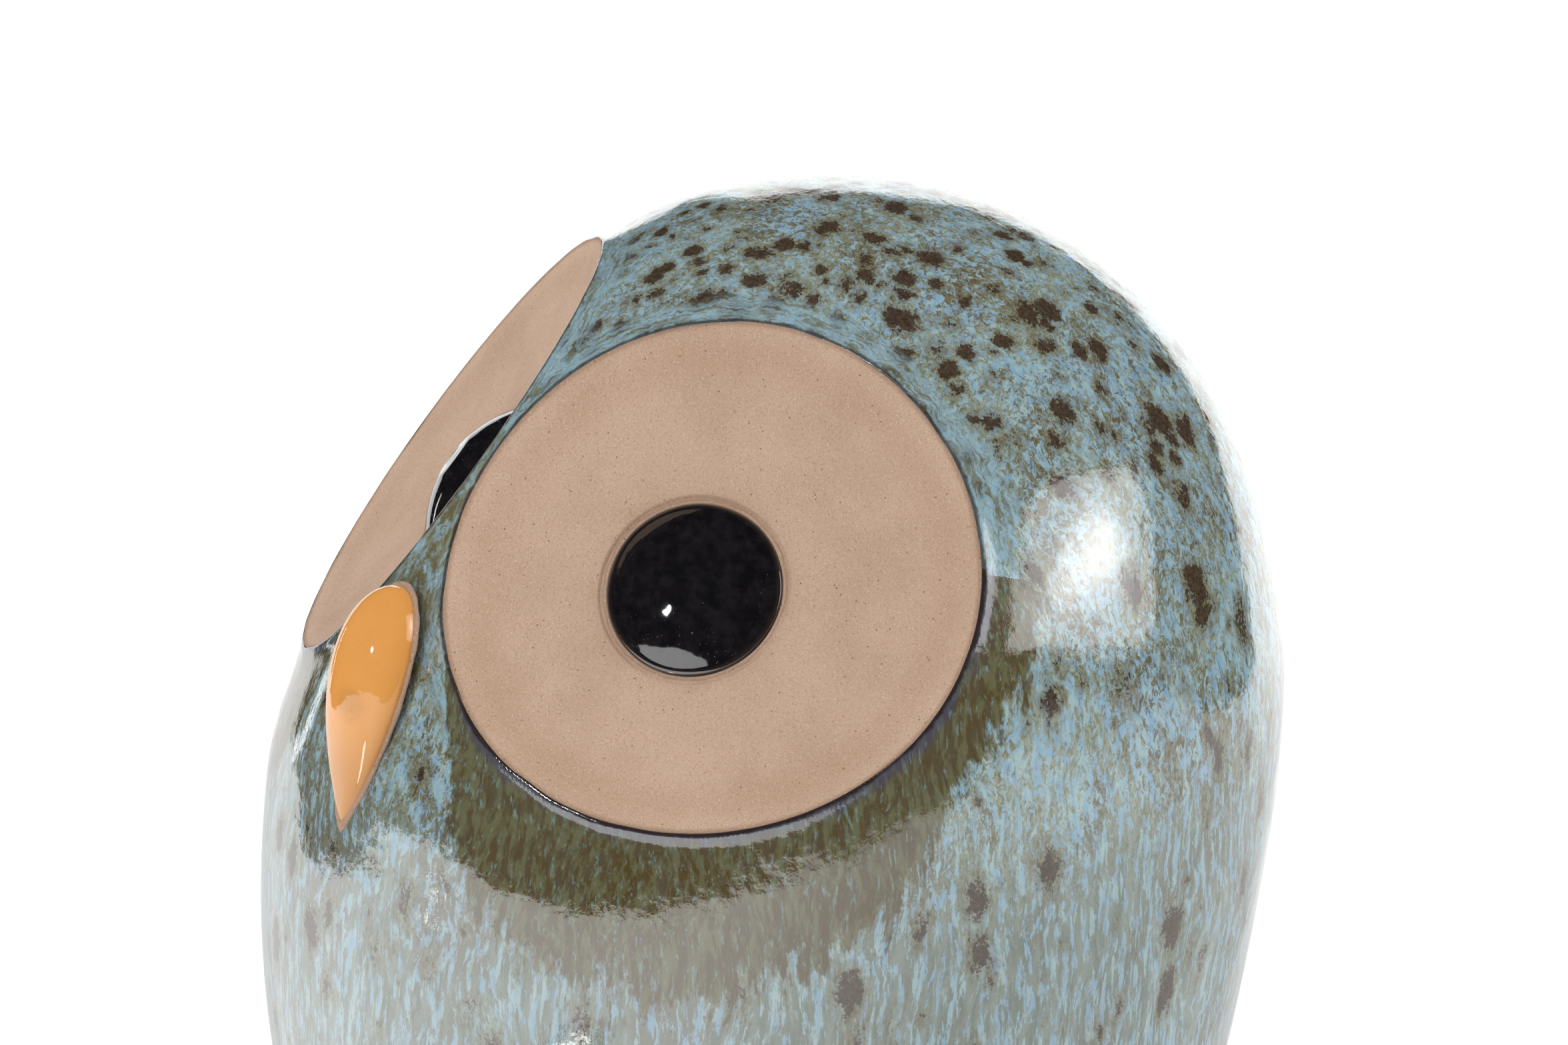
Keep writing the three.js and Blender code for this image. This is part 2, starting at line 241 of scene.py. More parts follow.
RIM_HEIGHTS = {side: rim_heights(side) for side in (1, -1)}
LIP_RISE = ((0.0, 0.04), (0.12, 0.12), (0.3, 0.17), (0.55, 0.18), (0.85, 0.13), (1.2, 0.06))
LIP_FALL = ((1.6, 0.02), (2.1, 0.0), (2.8, 0.0), (3.7, 0.0))
LIP_T, LIP_H = (np.array(v) for v in zip(*(LIP_RISE + LIP_FALL)))


def lip_height(distance):
    return np.interp(distance, LIP_T, LIP_H, right=0.0)


def ease_to_rims(point):
    """The egg's skin drawn in or out to meet each rim, with the glaze bead on its edge."""
    total = np.zeros_like(point)
    weight_sum = np.zeros(len(point))
    keep = np.ones(len(point))
    bead = np.zeros_like(point)
    distance_to_rim = np.full(len(point), FAR_AWAY)
    for side in (1, -1):
        out = face_frame(side)[3]
        radius, theta, height = to_face(point, side)
        distance = np.maximum(radius - lip_radius(theta, side), 0)
        distance = np.where(height > -30, distance, FAR_AWAY)
        heights = np.interp(theta % (2 * math.pi), *RIM_HEIGHTS[side])
        weight = 1 - smoothstep(0, BLEND, distance)
        near = 1 / (distance + 0.5) ** 2
        total += (near * -heights)[:, None] * out
        weight_sum += near
        keep *= 1 - weight
        bead += lip_height(distance)[:, None] * out
        distance_to_rim = np.minimum(distance_to_rim, distance)
    shift = total / weight_sum[:, None] * (1 - keep)[:, None]
    return point + shift + bead, distance_to_rim


# ------------------------------------------------------------------ meshes from rings


class Patch:
    """Points and faces gathered from rings, grids and triangulations."""

    def __init__(self):
        self.points = []
        self.faces = []
        self.count = 0

    def add(self, points):
        points = np.asarray(points, float).reshape(-1, 3)
        start = self.count
        self.points.append(points)
        self.count += len(points)
        return np.arange(start, self.count)

    def bridge(self, lower, upper):
        """Quads between two closed rings. Seen from outside, lower runs anticlockwise."""
        corners = [lower, np.roll(lower, -1), np.roll(upper, -1), upper]
        self.faces += np.stack(corners, -1).tolist()

    def chain(self, rings):
        """Joins closed rings one after another; each is a ring of points or of indices."""
        loops = []
        for ring in map(np.asarray, rings):
            loops.append(ring if ring.ndim == 1 else self.add(ring))
            if len(loops) > 1:
                self.bridge(loops[-2], loops[-1])
        return loops

    def add_sheet(self, points, triangles):
        indices = self.add(points)
        self.faces += indices[triangles].tolist()
        return indices

    def cap(self, ring, centre, outward=True):
        middle = self.add(centre)[0]
        for a, b in zip(ring, np.roll(ring, -1)):
            self.faces.append([a, b, middle] if outward else [b, a, middle])

    def all_points(self):
        return np.concatenate(self.points)


def new_mesh(name, patch, material, attributes=None):
    mesh = bpy.data.meshes.new(name)
    faces = [list(map(int, face)) for face in patch.faces]
    mesh.from_pydata((patch.all_points() * MM).tolist(), [], faces)
    mesh.validate()
    for key, values in (attributes or {}).items():
        layer = mesh.attributes.new(key, "FLOAT", "POINT")
        layer.data.foreach_set("value", np.asarray(values, np.float32))
    mesh.polygons.foreach_set("use_smooth", [True] * len(mesh.polygons))
    mesh.materials.append(material)
    obj = bpy.data.objects.new(name, mesh)
    bpy.context.scene.collection.objects.link(obj)
    return obj


# ------------------------------------------------------------------ the body


def slot_outline(offset):
    """X and Z of the coin slot's outline, grown by offset."""
    radius = SLOT_WIDTH / 2
    reach = SLOT_LENGTH / 2 - radius
    grown = radius + offset
    straight, arc = 2 * reach, math.pi * radius
    whole = 2 * (straight + arc)
    x, z = [], []
    for i in range(SLOT_STEPS):
        s = whole * i / SLOT_STEPS
        if s < straight:
            x.append(reach - s)
            z.append(grown)
        elif s < straight + arc:
            a = math.pi / 2 + (s - straight) / radius
            x.append(-reach + grown * math.cos(a))
            z.append(grown * math.sin(a))
        elif s < 2 * straight + arc:
            x.append(-reach + s - straight - arc)
            z.append(-grown)
        else:
            a = 1.5 * math.pi + (s - 2 * straight - arc) / radius
            x.append(reach + grown * math.cos(a))
            z.append(grown * math.sin(a))
    return np.array(x), np.array(z) + SLOT_HEIGHT


def slot_ring(offset, inset=0.0):
    x, z = slot_outline(offset)
    start = np.stack([x, np.full(len(x), 55.0), z], -1)
    return onto_egg(start, np.array([0.0, 1.0, 0.0]), -25, 25, inset)


def foot_ring(height, inset=0.0):
    """The skin's outline at a height above the floor, one point for each angle."""
    angle = full_turn(FOOT_STEPS)

    def is_below(u):
        return egg_point(u, angle, inset)[:, 2] < height

    return egg_point(bisect(is_below, -0.95, -0.3, FOOT_STEPS), angle, inset)


def near_slot(point, margin):
    beside = np.abs(point[:, 0]) < SLOT_LENGTH / 2 + 4
    return beside & (np.abs(point[:, 2] - SLOT_HEIGHT) < margin) & (point[:, 1] > 30)


def skin_grid(spacing, inset=0.0):
    """Evenly spread points of the skin, from the crown to below the foot."""
    rows = [egg_point(np.array([1.0]), np.array([0.0]), inset)]
    polar, turn = 0.0, 0.0
    while polar < 2.5:
        polar += spacing / 88.0
        radius = float(egg_radius(np.array([math.cos(polar)]), np.array([0.7]), inset)[0])
        count = max(6, round(2 * math.pi * radius / spacing))
        turn += 0.5 / count
        angle = (np.arange(count) / count + turn) * 2 * math.pi
        rows.append(egg_point(np.full(count, math.cos(polar)), angle, inset))
    return np.concatenate(rows)


class Sheet:
    """The points of one sheet of skin. The insides of its loops stay open."""

    def __init__(self):
        self.parts = []
        self.loops = []
        self.count = 0

    def add(self, points, is_loop=False):
        span = np.arange(self.count, self.count + len(points))
        self.parts.append(points)
        self.count += len(points)
        if is_loop:
            self.loops.append(span)
        return span

    def triangulated(self, inset=0.0):
        """All the points, and triangles between them that follow every loop."""
        points = np.concatenate(self.parts)
        edges = [(int(a), int(b)) for loop in self.loops for a, b in zip(loop, np.roll(loop, -1))]
        flat = [Vector(p) for p in flat_param(points, inset)]
        result = delaunay_2d_cdt(flat, edges, [], 0, 1e-9, True)
        origin = [(o[0] if o else -1) for o in result[3]]
        loop_of = np.full(len(points) + 1, -1)
        for number, loop in enumerate(self.loops):
            loop_of[loop] = number
        triangles = []
        for face in result[2]:
            a, b, c = (origin[i] for i in face)
            in_a_loop = loop_of[a] >= 0 and loop_of[a] == loop_of[b] == loop_of[c]
            if min(a, b, c) >= 0 and not in_a_loop:
                triangles.append([a, b, c])
        return points, np.array(triangles)


RIM_DISTANCES = (0, 0.12, 0.3, 0.55, 0.85, 1.2, 1.6, 2.1, 2.8, 3.7, 4.7, 5.8, 7.0, 8.3)
# Rings round the coin slot: how far out each one is, and how far its points are sunk.
SLOT_RINGS = ((0.0, 1.2), (0.12, 0.75), (0.4, 0.33), (0.8, 0.08), (1.3, 0.0), (2.2, 0.0), (3.4, 0.0))


def outer_skin(patch):
    """The glazed outside: the loops that the rest joins on to, and distances to the rims."""
    theta = full_turn(RIM_STEPS)
    sheet = Sheet()
    for side in (1, -1):
        out = face_frame(side)[3]
        for distance in RIM_DISTANCES:
            ring = onto_egg(from_face(lip_radius(theta, side) + distance, theta, 0.0, side), out, -14, 10)
            if distance:
                ring = ring[ring[:, 0] * side > 0.3]
            sheet.add(ring, is_loop=distance == 0)
    sunk = [(sheet.add(slot_ring(offset), offset == 0), depth) for offset, depth in SLOT_RINGS]
    sheet.add(foot_ring(1.5), is_loop=True)
    grid = skin_grid(1.5)
    clear = (grid[:, 2] > 2.6) & ~near_slot(grid, 6.6)
    for side in (1, -1):
        radius, _, height = to_face(grid, side)
        clear &= (radius > LIP_INNER + RIM_DISTANCES[-1] + 0.6) | (height < -25)
    sheet.add(grid[clear])
    points, triangles = sheet.triangulated()
    shaped, distance = ease_to_rims(points)
    for span, depth in sunk:
        shaped[span, 1] -= depth
    indices = patch.add_sheet(shaped, triangles)
    return [indices[loop] for loop in sheet.loops], distance


def pocket(patch, loop, side):
    """The seat of one disc, from the edge of the glaze down and in under the clay."""
    theta = full_turn(RIM_STEPS)
    edge = lip_radius(theta, side)
    rings = [loop]
    for inwards, height in ((0.02, -0.3), (0.05, -1.2), (0.6, -3.2)):
        rings.append(from_face(edge - inwards, theta, height, side))
    for radius in (33.0, 28.0, 22.0, 16.0, 10.0, 4.0, 0.0):
        height = dish_height(radius) - DISC_THICKNESS - 0.4
        rings.append(from_face(radius, theta, height, side))
    middle = rings.pop()[:1]
    patch.cap(patch.chain(rings)[-1], middle)


def circle(angles, radius, height):
    x = radius * np.cos(angles)
    y = radius * np.sin(angles) + BASE_CENTRE_Y
    return np.stack([x, y, np.full(len(angles), float(height))], -1)


def shrunk(ring, inset, height):
    """A ring drawn in towards the base's centre, at another height."""
    centre = np.array([0, BASE_CENTRE_Y])
    radius = np.linalg.norm(ring[:, :2] - centre, axis=1)
    flat = centre + (ring[:, :2] - centre) * ((radius - inset) / radius)[:, None]
    return np.column_stack([flat, np.full(len(ring), float(height))])


def inner_skin(patch):
    """The wall of the coin chamber. Returns its slot loop and its foot loop."""
    sheet = Sheet()
    sheet.add(slot_ring(0.0, WALL), is_loop=True)
    sheet.add(slot_ring(1.5, WALL))
    sheet.add(foot_ring(FLOOR + 3, WALL), is_loop=True)
    grid = skin_grid(3.5, WALL)
    sheet.add(grid[(grid[:, 2] > FLOOR + 5) & ~near_slot(grid, 6)])
    points, triangles = sheet.triangulated(WALL)
    for side in (1, -1):
        radius, _, height = to_face(points, side)
        backing = dish_height(np.minimum(radius, DISC_RADIUS)) - DISC_THICKNESS - PAD_THICKNESS
        over = np.maximum(height - backing, 0) * (1 - smoothstep(DISC_RADIUS, DISC_RADIUS + 6, radius))
        points -= over[:, None] * face_frame(side)[3]
    indices = patch.add_sheet(points, triangles[:, ::-1])
    return [indices[loop] for loop in sheet.loops]


def base_and_floor(patch, skin_loop, chamber_loop):
    """The foot ring, the recess, the stopper's hole and the chamber's floor."""
    skin = patch.all_points()[skin_loop]
    chamber = patch.all_points()[chamber_loop]
    angles = np.arctan2(skin[:, 1] - BASE_CENTRE_Y, skin[:, 0])
    profile = [(RECESS_RADIUS + 0.8, 0.0), (RECESS_RADIUS + 0.25, 0.2)]
    profile += [(RECESS_RADIUS, 0.8), (RECESS_RADIUS, RECESS_DEPTH - 0.8)]
    profile += [(RECESS_RADIUS - 0.8, RECESS_DEPTH), (HOLE_RADIUS + 0.6, RECESS_DEPTH)]
    profile += [(HOLE_RADIUS, RECESS_DEPTH + 0.6), (HOLE_RADIUS, FLOOR - 0.5)]
    profile += [(HOLE_RADIUS + 0.6, FLOOR)]
    rings = [skin_loop]
    rings += [shrunk(skin, inset, height) for inset, height in ((0.35, 0.7), (0.9, 0.22), (1.8, 0.0))]
    rings += [circle(angles, radius, height) for radius, height in profile]
    rings += [shrunk(chamber, inset, height) for inset, height in ((3.0, FLOOR), (0.9, FLOOR + 1.0))]
    rings += [chamber_loop]
    patch.chain(rings[::-1])


def rim_turn(point):
    """Distance along the nearer rim in mm, measured from its lowest point."""
    turns, gaps = [], []
    for side in (1, -1):
        x, y, _ = in_face(point, side)
        turns.append(np.arctan2(x * side, -y) * DISC_RADIUS)
        gaps.append(np.linalg.norm(point - face_frame(side)[0], axis=1))
    return np.where(gaps[0] < gaps[1], turns[0], turns[1])


RUN_OFF_LENGTH, RUN_OFF_START = 31.0, 1.15


def run_off(point):
    """RUN_OFF_START along the underside of each rim, falling to 0 some way down the wall."""
    strongest = np.zeros(len(point))
    for side in (1, -1):
        x, y, z = in_face(point, side)
        below = -np.sqrt(np.clip(LIP_INNER**2 - x**2, 0, None)) - y
        away = np.hypot(np.maximum(below, 0), z)
        loss = smoothstep(LIP_INNER, LIP_INNER + 16, x * side)
        loss += smoothstep(LIP_INNER - 9, LIP_INNER + 3, -x * side)
        value = RUN_OFF_START - away / RUN_OFF_LENGTH - loss
        value = np.where((below > -5) & (z < 4), value, 0)
        strongest = np.maximum(strongest, np.clip(value, 0, RUN_OFF_START))
    return strongest


def hollow_below(rim, turn):
    """How far the wall is drawn in below each rim, as a share of the full depth."""
    return smoothstep(2.5, 22, rim) * (1 - smoothstep(26, 78, np.abs(turn)))


def build_body(material):
    patch = Patch()
    loops, distance = outer_skin(patch)
    outer_count = patch.count
    slot_loop, chamber_loop = inner_skin(patch)
    pocket(patch, loops[0], 1)
    pocket(patch, loops[1], -1)
    patch.chain([slot_loop, loops[2]])
    base_and_floor(patch, loops[3], chamber_loop)
    rim = np.full(patch.count, FAR_AWAY)
    rim[:outer_count] = distance
    rim[np.concatenate(loops[:2])] = 0.0
    inside = np.ones(patch.count)
    inside[:outer_count] = 0.0
    attributes = {"rim_mm": rim, "runoff": run_off(patch.all_points()), "inside": inside}
    attributes["turn_mm"] = rim_turn(patch.all_points())
    attributes["hollow"] = hollow_below(rim, attributes["turn_mm"])
    body = new_mesh("glazed_body", patch, material, attributes)
    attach(body, "bank")
    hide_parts("body_shell")


# ------------------------------------------------------------------ discs, pupils, beak

SOCKET = PUPIL_RADIUS + FIRING_GAP
# The groove pressed in round each pupil and the burr outside it: distance, half-width, depth.
GROOVE = (0.85, 0.24, -0.3)
BURR = (1.35, 0.28, 0.12)
# The rings of a disc's top: as distances from the pupil, and as shares of the way to the rim.
NEAR_PUPIL = (3.4, 2.7, 2.2, 1.9, 1.7, 1.5, 1.35, 1.2, 1.1, 1.0, 0.92, 0.85, 0.78, 0.7, 0.6)
NEAR_PUPIL += (0.48, 0.32, 0.15, 0.0)
NEAR_RIM = (1.0, 0.985, 0.96, 0.92, 0.86, 0.8, 0.72, 0.64, 0.56, 0.48, 0.4, 0.32, 0.24, 0.16, 0.08)


def rays_to_outline(theta, reach_radius, side):
    """How far a disc reaches from its pupil's centre along each direction."""
    start = PUPIL_OFFSET * np.array([side, 1])

    def is_inside(distance):
        x, y = start[0] + distance * np.cos(theta), start[1] + distance * np.sin(theta)
        return np.hypot(x, y) / outline(np.arctan2(y, x), side) < reach_radius

    return bisect(is_inside, 20, 55, len(theta), steps=40)


def clay_relief(x, y):
    """Slow unevenness of hand-pressed clay, in millimetres."""
    swell = 0.05 * np.sin(0.17 * x + 0.6) * np.cos(0.21 * y - 0.4)
    return swell + 0.03 * np.sin(0.41 * x - 0.33 * y + 1.2)


def build_disc(side, word, material):
    theta = full_turn(DISC_STEPS)
    centre, across, up, out = face_frame(side)
    start = PUPIL_OFFSET * np.array([side, 1])
    limit = rays_to_outline(theta, DISC_RADIUS + 0.22, side)

    def ring(distance, offset, relief=False):
        """A ring at a distance from the pupil's centre, offset from the dish's surface."""
        x = start[0] + distance * np.cos(theta)
        y = start[1] + distance * np.sin(theta)
        unstretched = np.hypot(x, y) / outline(np.arctan2(y, x), side)
        height = dish_height(np.minimum(unstretched, DISC_RADIUS + 0.3)) + offset
        if relief:
            strength = 0.75 + 0.35 * np.sin(theta - 0.5) + 0.15 * np.sin(5 * theta)
            for place, half_width, depth in (GROOVE, BURR):
                away = (distance - SOCKET - place) / half_width
                height = height + strength * depth * np.exp(-(away**2))
            height = height + clay_relief(x, y)
        return centre + x[:, None] * across + y[:, None] * up + height[:, None] * out

    patch = Patch()
    thick = -DISC_THICKNESS
    from_pupil = SOCKET + NEAR_PUPIL[0]
    stack = [ring(5.0, thick)]
    stack += [ring(limit * share, thick) for share in (0.4, 0.6, 0.8, 0.94)]
    stack += [ring(limit - 0.25, thick + 0.1), ring(limit, -1.2), ring(limit, -0.3)]
    stack += [ring(from_pupil + (limit - 0.1 - from_pupil) * share, 0.0, True) for share in NEAR_RIM]
    stack += [ring(SOCKET + distance, 0.0, True) for distance in NEAR_PUPIL]
    stack += [ring(SOCKET - inset, drop) for inset, drop in ((0.1, -0.25), (0.12, -1.3), (3.0, -1.5))]
    indices = patch.chain(stack)
    patch.cap(indices[0], ring(0.0, thick)[:1], outward=False)
    patch.cap(indices[-1], ring(0.0, -1.5)[:1])
    points = patch.all_points()
    radius, _, _ = to_face(points, side)
    x, y, _ = in_face(points, side)
    from_centre = np.hypot(x - start[0], y - start[1])
    attributes = {"rim_mm": LIP_INNER - radius, "pupil_mm": from_centre - SOCKET}
    disc = new_mesh(f"{word}_clay_disc", patch, material, attributes)
    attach(disc, "bank")
    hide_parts(f"{word}_eye_disc")


def pupil_frame(side):
    centre, across, up, out = face_frame(side)
    foot = np.array([side * PUPIL_OFFSET[0], PUPIL_OFFSET[1], 0.0])
    foot[2] = dish_height(np.hypot(foot[0], foot[1]))
    axis = np.array([0, 0, DISH_SPHERE - DISH_DEPTH]) - foot
    axis /= np.linalg.norm(axis)
    foot = foot + axis * (dish_height(PUPIL_RADIUS) + DISH_DEPTH)
    basis = np.stack([across, up, out], 1)
    normal = basis @ axis
    x = basis @ np.array([1.0, 0, 0])
    x -= normal * (x @ normal)
    x /= np.linalg.norm(x)
    return centre + basis @ foot, x, np.cross(normal, x), normal


POOLED_RADIUS = 12.34  # where the pupil's glaze has pooled and bulges most
DIMPLE = 0.16
DOME_RINGS = 44


def pupil_profile():
    """(radius, height) from the hidden foot, round the pooled edge and up to the apex."""
    sphere = (PUPIL_RADIUS**2 + PUPIL_HEIGHT**2) / (2 * PUPIL_HEIGHT)
    profile = [(5.0, -PUPIL_SEAT), (11.9, -PUPIL_SEAT), (12.1, -0.8)]
    profile += [(12.26, -0.2), (POOLED_RADIUS, 0.08), (12.3, 0.3), (12.16, 0.52)]
    for i in range(1, DOME_RINGS):
        radius = 11.95 * (1 - i / DOME_RINGS)
        dome = math.sqrt(sphere**2 - radius**2) - sphere + PUPIL_HEIGHT
        pooled = 0.28 * math.exp(-((PUPIL_RADIUS - radius) / 0.9))
        dimple = -DIMPLE * math.exp(-((radius / 2.9) ** 4))
        burr = 0.05 * math.exp(-(((radius - 3.6) / 0.7) ** 2))
        profile.append((radius, dome + pooled + (dimple + burr)))
    return profile


def build_pupil(side, word, material):
    theta = full_turn(PUPIL_STEPS)
    centre, x, y, normal = pupil_frame(side)
    patch = Patch()
    rings, edge_distance = [], []
    for radius, height in pupil_profile():
        edge_distance += [POOLED_RADIUS - radius if height > 0 else 0.0] * PUPIL_STEPS
        edge = smoothstep(6, 12.3, radius)
        wander = 1 + edge * (0.0035 * np.sin(3 * theta + side) + 0.0025 * np.sin(7 * theta + 2))
        r = radius * wander
        plane = (r * np.cos(theta))[:, None] * x + (r * np.sin(theta))[:, None] * y
        rings.append(centre + plane + height * normal)
    indices = patch.chain(rings)
    patch.cap(indices[0], centre - PUPIL_SEAT * normal, outward=False)
    patch.cap(indices[-1], centre + (PUPIL_HEIGHT - DIMPLE) * normal)
    attributes = {"edge_mm": edge_distance + [0.0, 12.0]}
    pupil = new_mesh(f"{word}_glazed_pupil", patch, material, attributes)
    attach(pupil, "bank")
    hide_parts(f"{word}_pupil")


def breast_points(heights):
    """The front of the egg on the plane x = 0, with its outward direction."""
    start = np.stack([np.zeros(len(heights)), np.full(len(heights), -60.0), heights], -1)
    forward = np.array([0.0, -1.0, 0.0])
    point = onto_egg(start, forward, -30, 30)
    step = np.array([0.0, 0.0, 0.5])
    above = onto_egg(start + step, forward, -30, 30)
    below = onto_egg(start - step, forward, -30, 30)
    along = above - below
    along /= np.linalg.norm(along, axis=1)[:, None]
    return point, np.cross(np.array([1.0, 0, 0]), along)


def beak_half_width(share):
    return BEAK_WIDTH_SCALE * np.sqrt(share) * (1 - share) ** 0.9


def build_beak(material):
    angle = full_turn(BEAK_STEPS)
    share = (1 - np.cos(np.linspace(0, math.pi, BEAK_ROWS + 1)[1:-1])) / 2
    foot, outward = breast_points(BEAK_TOP - share * (BEAK_TOP - BEAK_TIP))
    rings, edge_distance = [], []
    for k, s in enumerate(share):
        half = beak_half_width(s)
        dome = half * (0.95 - 0.55 * s)
        lift = np.where(np.sin(angle) > 0, dome, min(BEAK_SEAT, half)) * np.sin(angle)
        point = foot[k] + lift[:, None] * outward[k]
        point[:, 0] = half * np.cos(angle)
        rings.append(point)
        edge_distance += lift.tolist()
    patch = Patch()
    indices = patch.chain(rings)
    ends, _ = breast_points(np.array([BEAK_TOP, BEAK_TIP]))
    patch.cap(indices[0], ends[:1], outward=False)
    patch.cap(indices[-1], ends[1:])
    attributes = {"edge_mm": edge_distance + [0.0, 0.0]}
    beak = new_mesh("glazed_beak", patch, material, attributes)
    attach(beak, "bank")
    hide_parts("beak")


def build_beak_seam(material):
    """The thin band of bare clay squeezed up all round the beak."""
    half_way = SEAM_STEPS // 2
    share = (1 - np.cos(np.linspace(0, math.pi, half_way + 1))) / 2
    shares = np.concatenate([share, share[-2:0:-1]])
    sides = np.concatenate([np.ones(half_way + 1), -np.ones(half_way - 1)])
    foot, outward = breast_points(BEAK_TOP + 0.3 - shares * (BEAK_TOP - BEAK_TIP + 0.7))
    line = foot.copy()
    line[:, 0] = beak_half_width(shares) * sides
    line -= outward * (line[:, 0] ** 2 / 160)[:, None]
    along = np.roll(line, -1, 0) - np.roll(line, 1, 0)
    along /= np.linalg.norm(along, axis=1)[:, None]
    beside = np.cross(along, outward)
    beside /= np.linalg.norm(beside, axis=1)[:, None]
    turn = full_turn(SEAM_STEPS)
    wander = 0.07 * np.sin(9 * turn + 1.0) + 0.05 * np.sin(23 * turn)
    rings = []
    for angle in full_turn(SEAM_SIDES):
        wide = (0.62 + wander) * math.cos(angle) + 0.22
        high = (0.42 + 0.5 * wander) * math.sin(angle)
        rings.append(line + wide[:, None] * beside + (high + 0.02)[:, None] * outward)
    patch = Patch()
    indices = patch.chain(rings)
    patch.bridge(indices[-1], indices[0])
    attributes = {"rim_mm": np.full(patch.count, 0.35), "pupil_mm": np.full(patch.count, 20.0)}
    seam = new_mesh("beak_clay_seam", patch, material, attributes)
    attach(seam, "bank")


# ------------------------------------------------------------------ stopper


def build_stopper(material):
    """A flange with a finger dish below, and a ribbed plug that is hollow above."""
    plug = HOLE_RADIUS - STOPPER_GAP
    top = RECESS_DEPTH - STOPPER_GAP
    bottom = top - FLANGE_THICKNESS
    rim = FLANGE_RADIUS
    profile = [(3.0, bottom + 1.3), (8.0, bottom + 1.2), (9.6, bottom + 0.9), (10.6, bottom + 0.25)]
    profile += [(11.4, bottom), (rim - 0.9, bottom), (rim - 0.3, bottom + 0.2), (rim, bottom + 0.7)]
    profile += [(rim, top - 0.7), (rim - 0.3, top - 0.2), (rim - 0.9, top), (plug + 0.3, top)]
    for rib in PLUG_RIBS:
        profile += [(plug - 0.35, rib - 0.6), (plug, rib - 0.25)]
        profile += [(plug, rib + 0.25), (plug - 0.35, rib + 0.6)]
    profile += [(plug - 0.5, 10.4), (15.4, 12.6), (15.0, 12.9), (14.4, 13.0)]
    profile += [(13.6, 12.8), (13.3, 12.2), (13.7, 5.6), (13.2, 5.1), (4.0, 5.0)]
    patch = Patch()
    indices = patch.chain([circle(full_turn(STOPPER_STEPS), r, z) for r, z in profile])
    patch.cap(indices[0], (0, BASE_CENTRE_Y, bottom + 1.3), outward=False)
    patch.cap(indices[-1], (0, BASE_CENTRE_Y, 5.0))
    stopper = new_mesh("rubber_stopper", patch, material)
    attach(stopper, "stopper")
    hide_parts("base_stopper")


# ------------------------------------------------------------------ node helpers


class Wire:
    """One output in a material's node tree. Sums and products of wires add math nodes."""

    def __init__(self, nodes, socket):
        self.nodes = nodes
        self.socket = socket

    def __add__(self, other):
        return self.nodes.math("ADD", self, other)

    def __sub__(self, other):
        return self.nodes.math("SUBTRACT", self, other)

    def __rsub__(self, other):
        return self.nodes.math("SUBTRACT", other, self)

    def __mul__(self, other):
        return self.nodes.math("MULTIPLY", self, other)


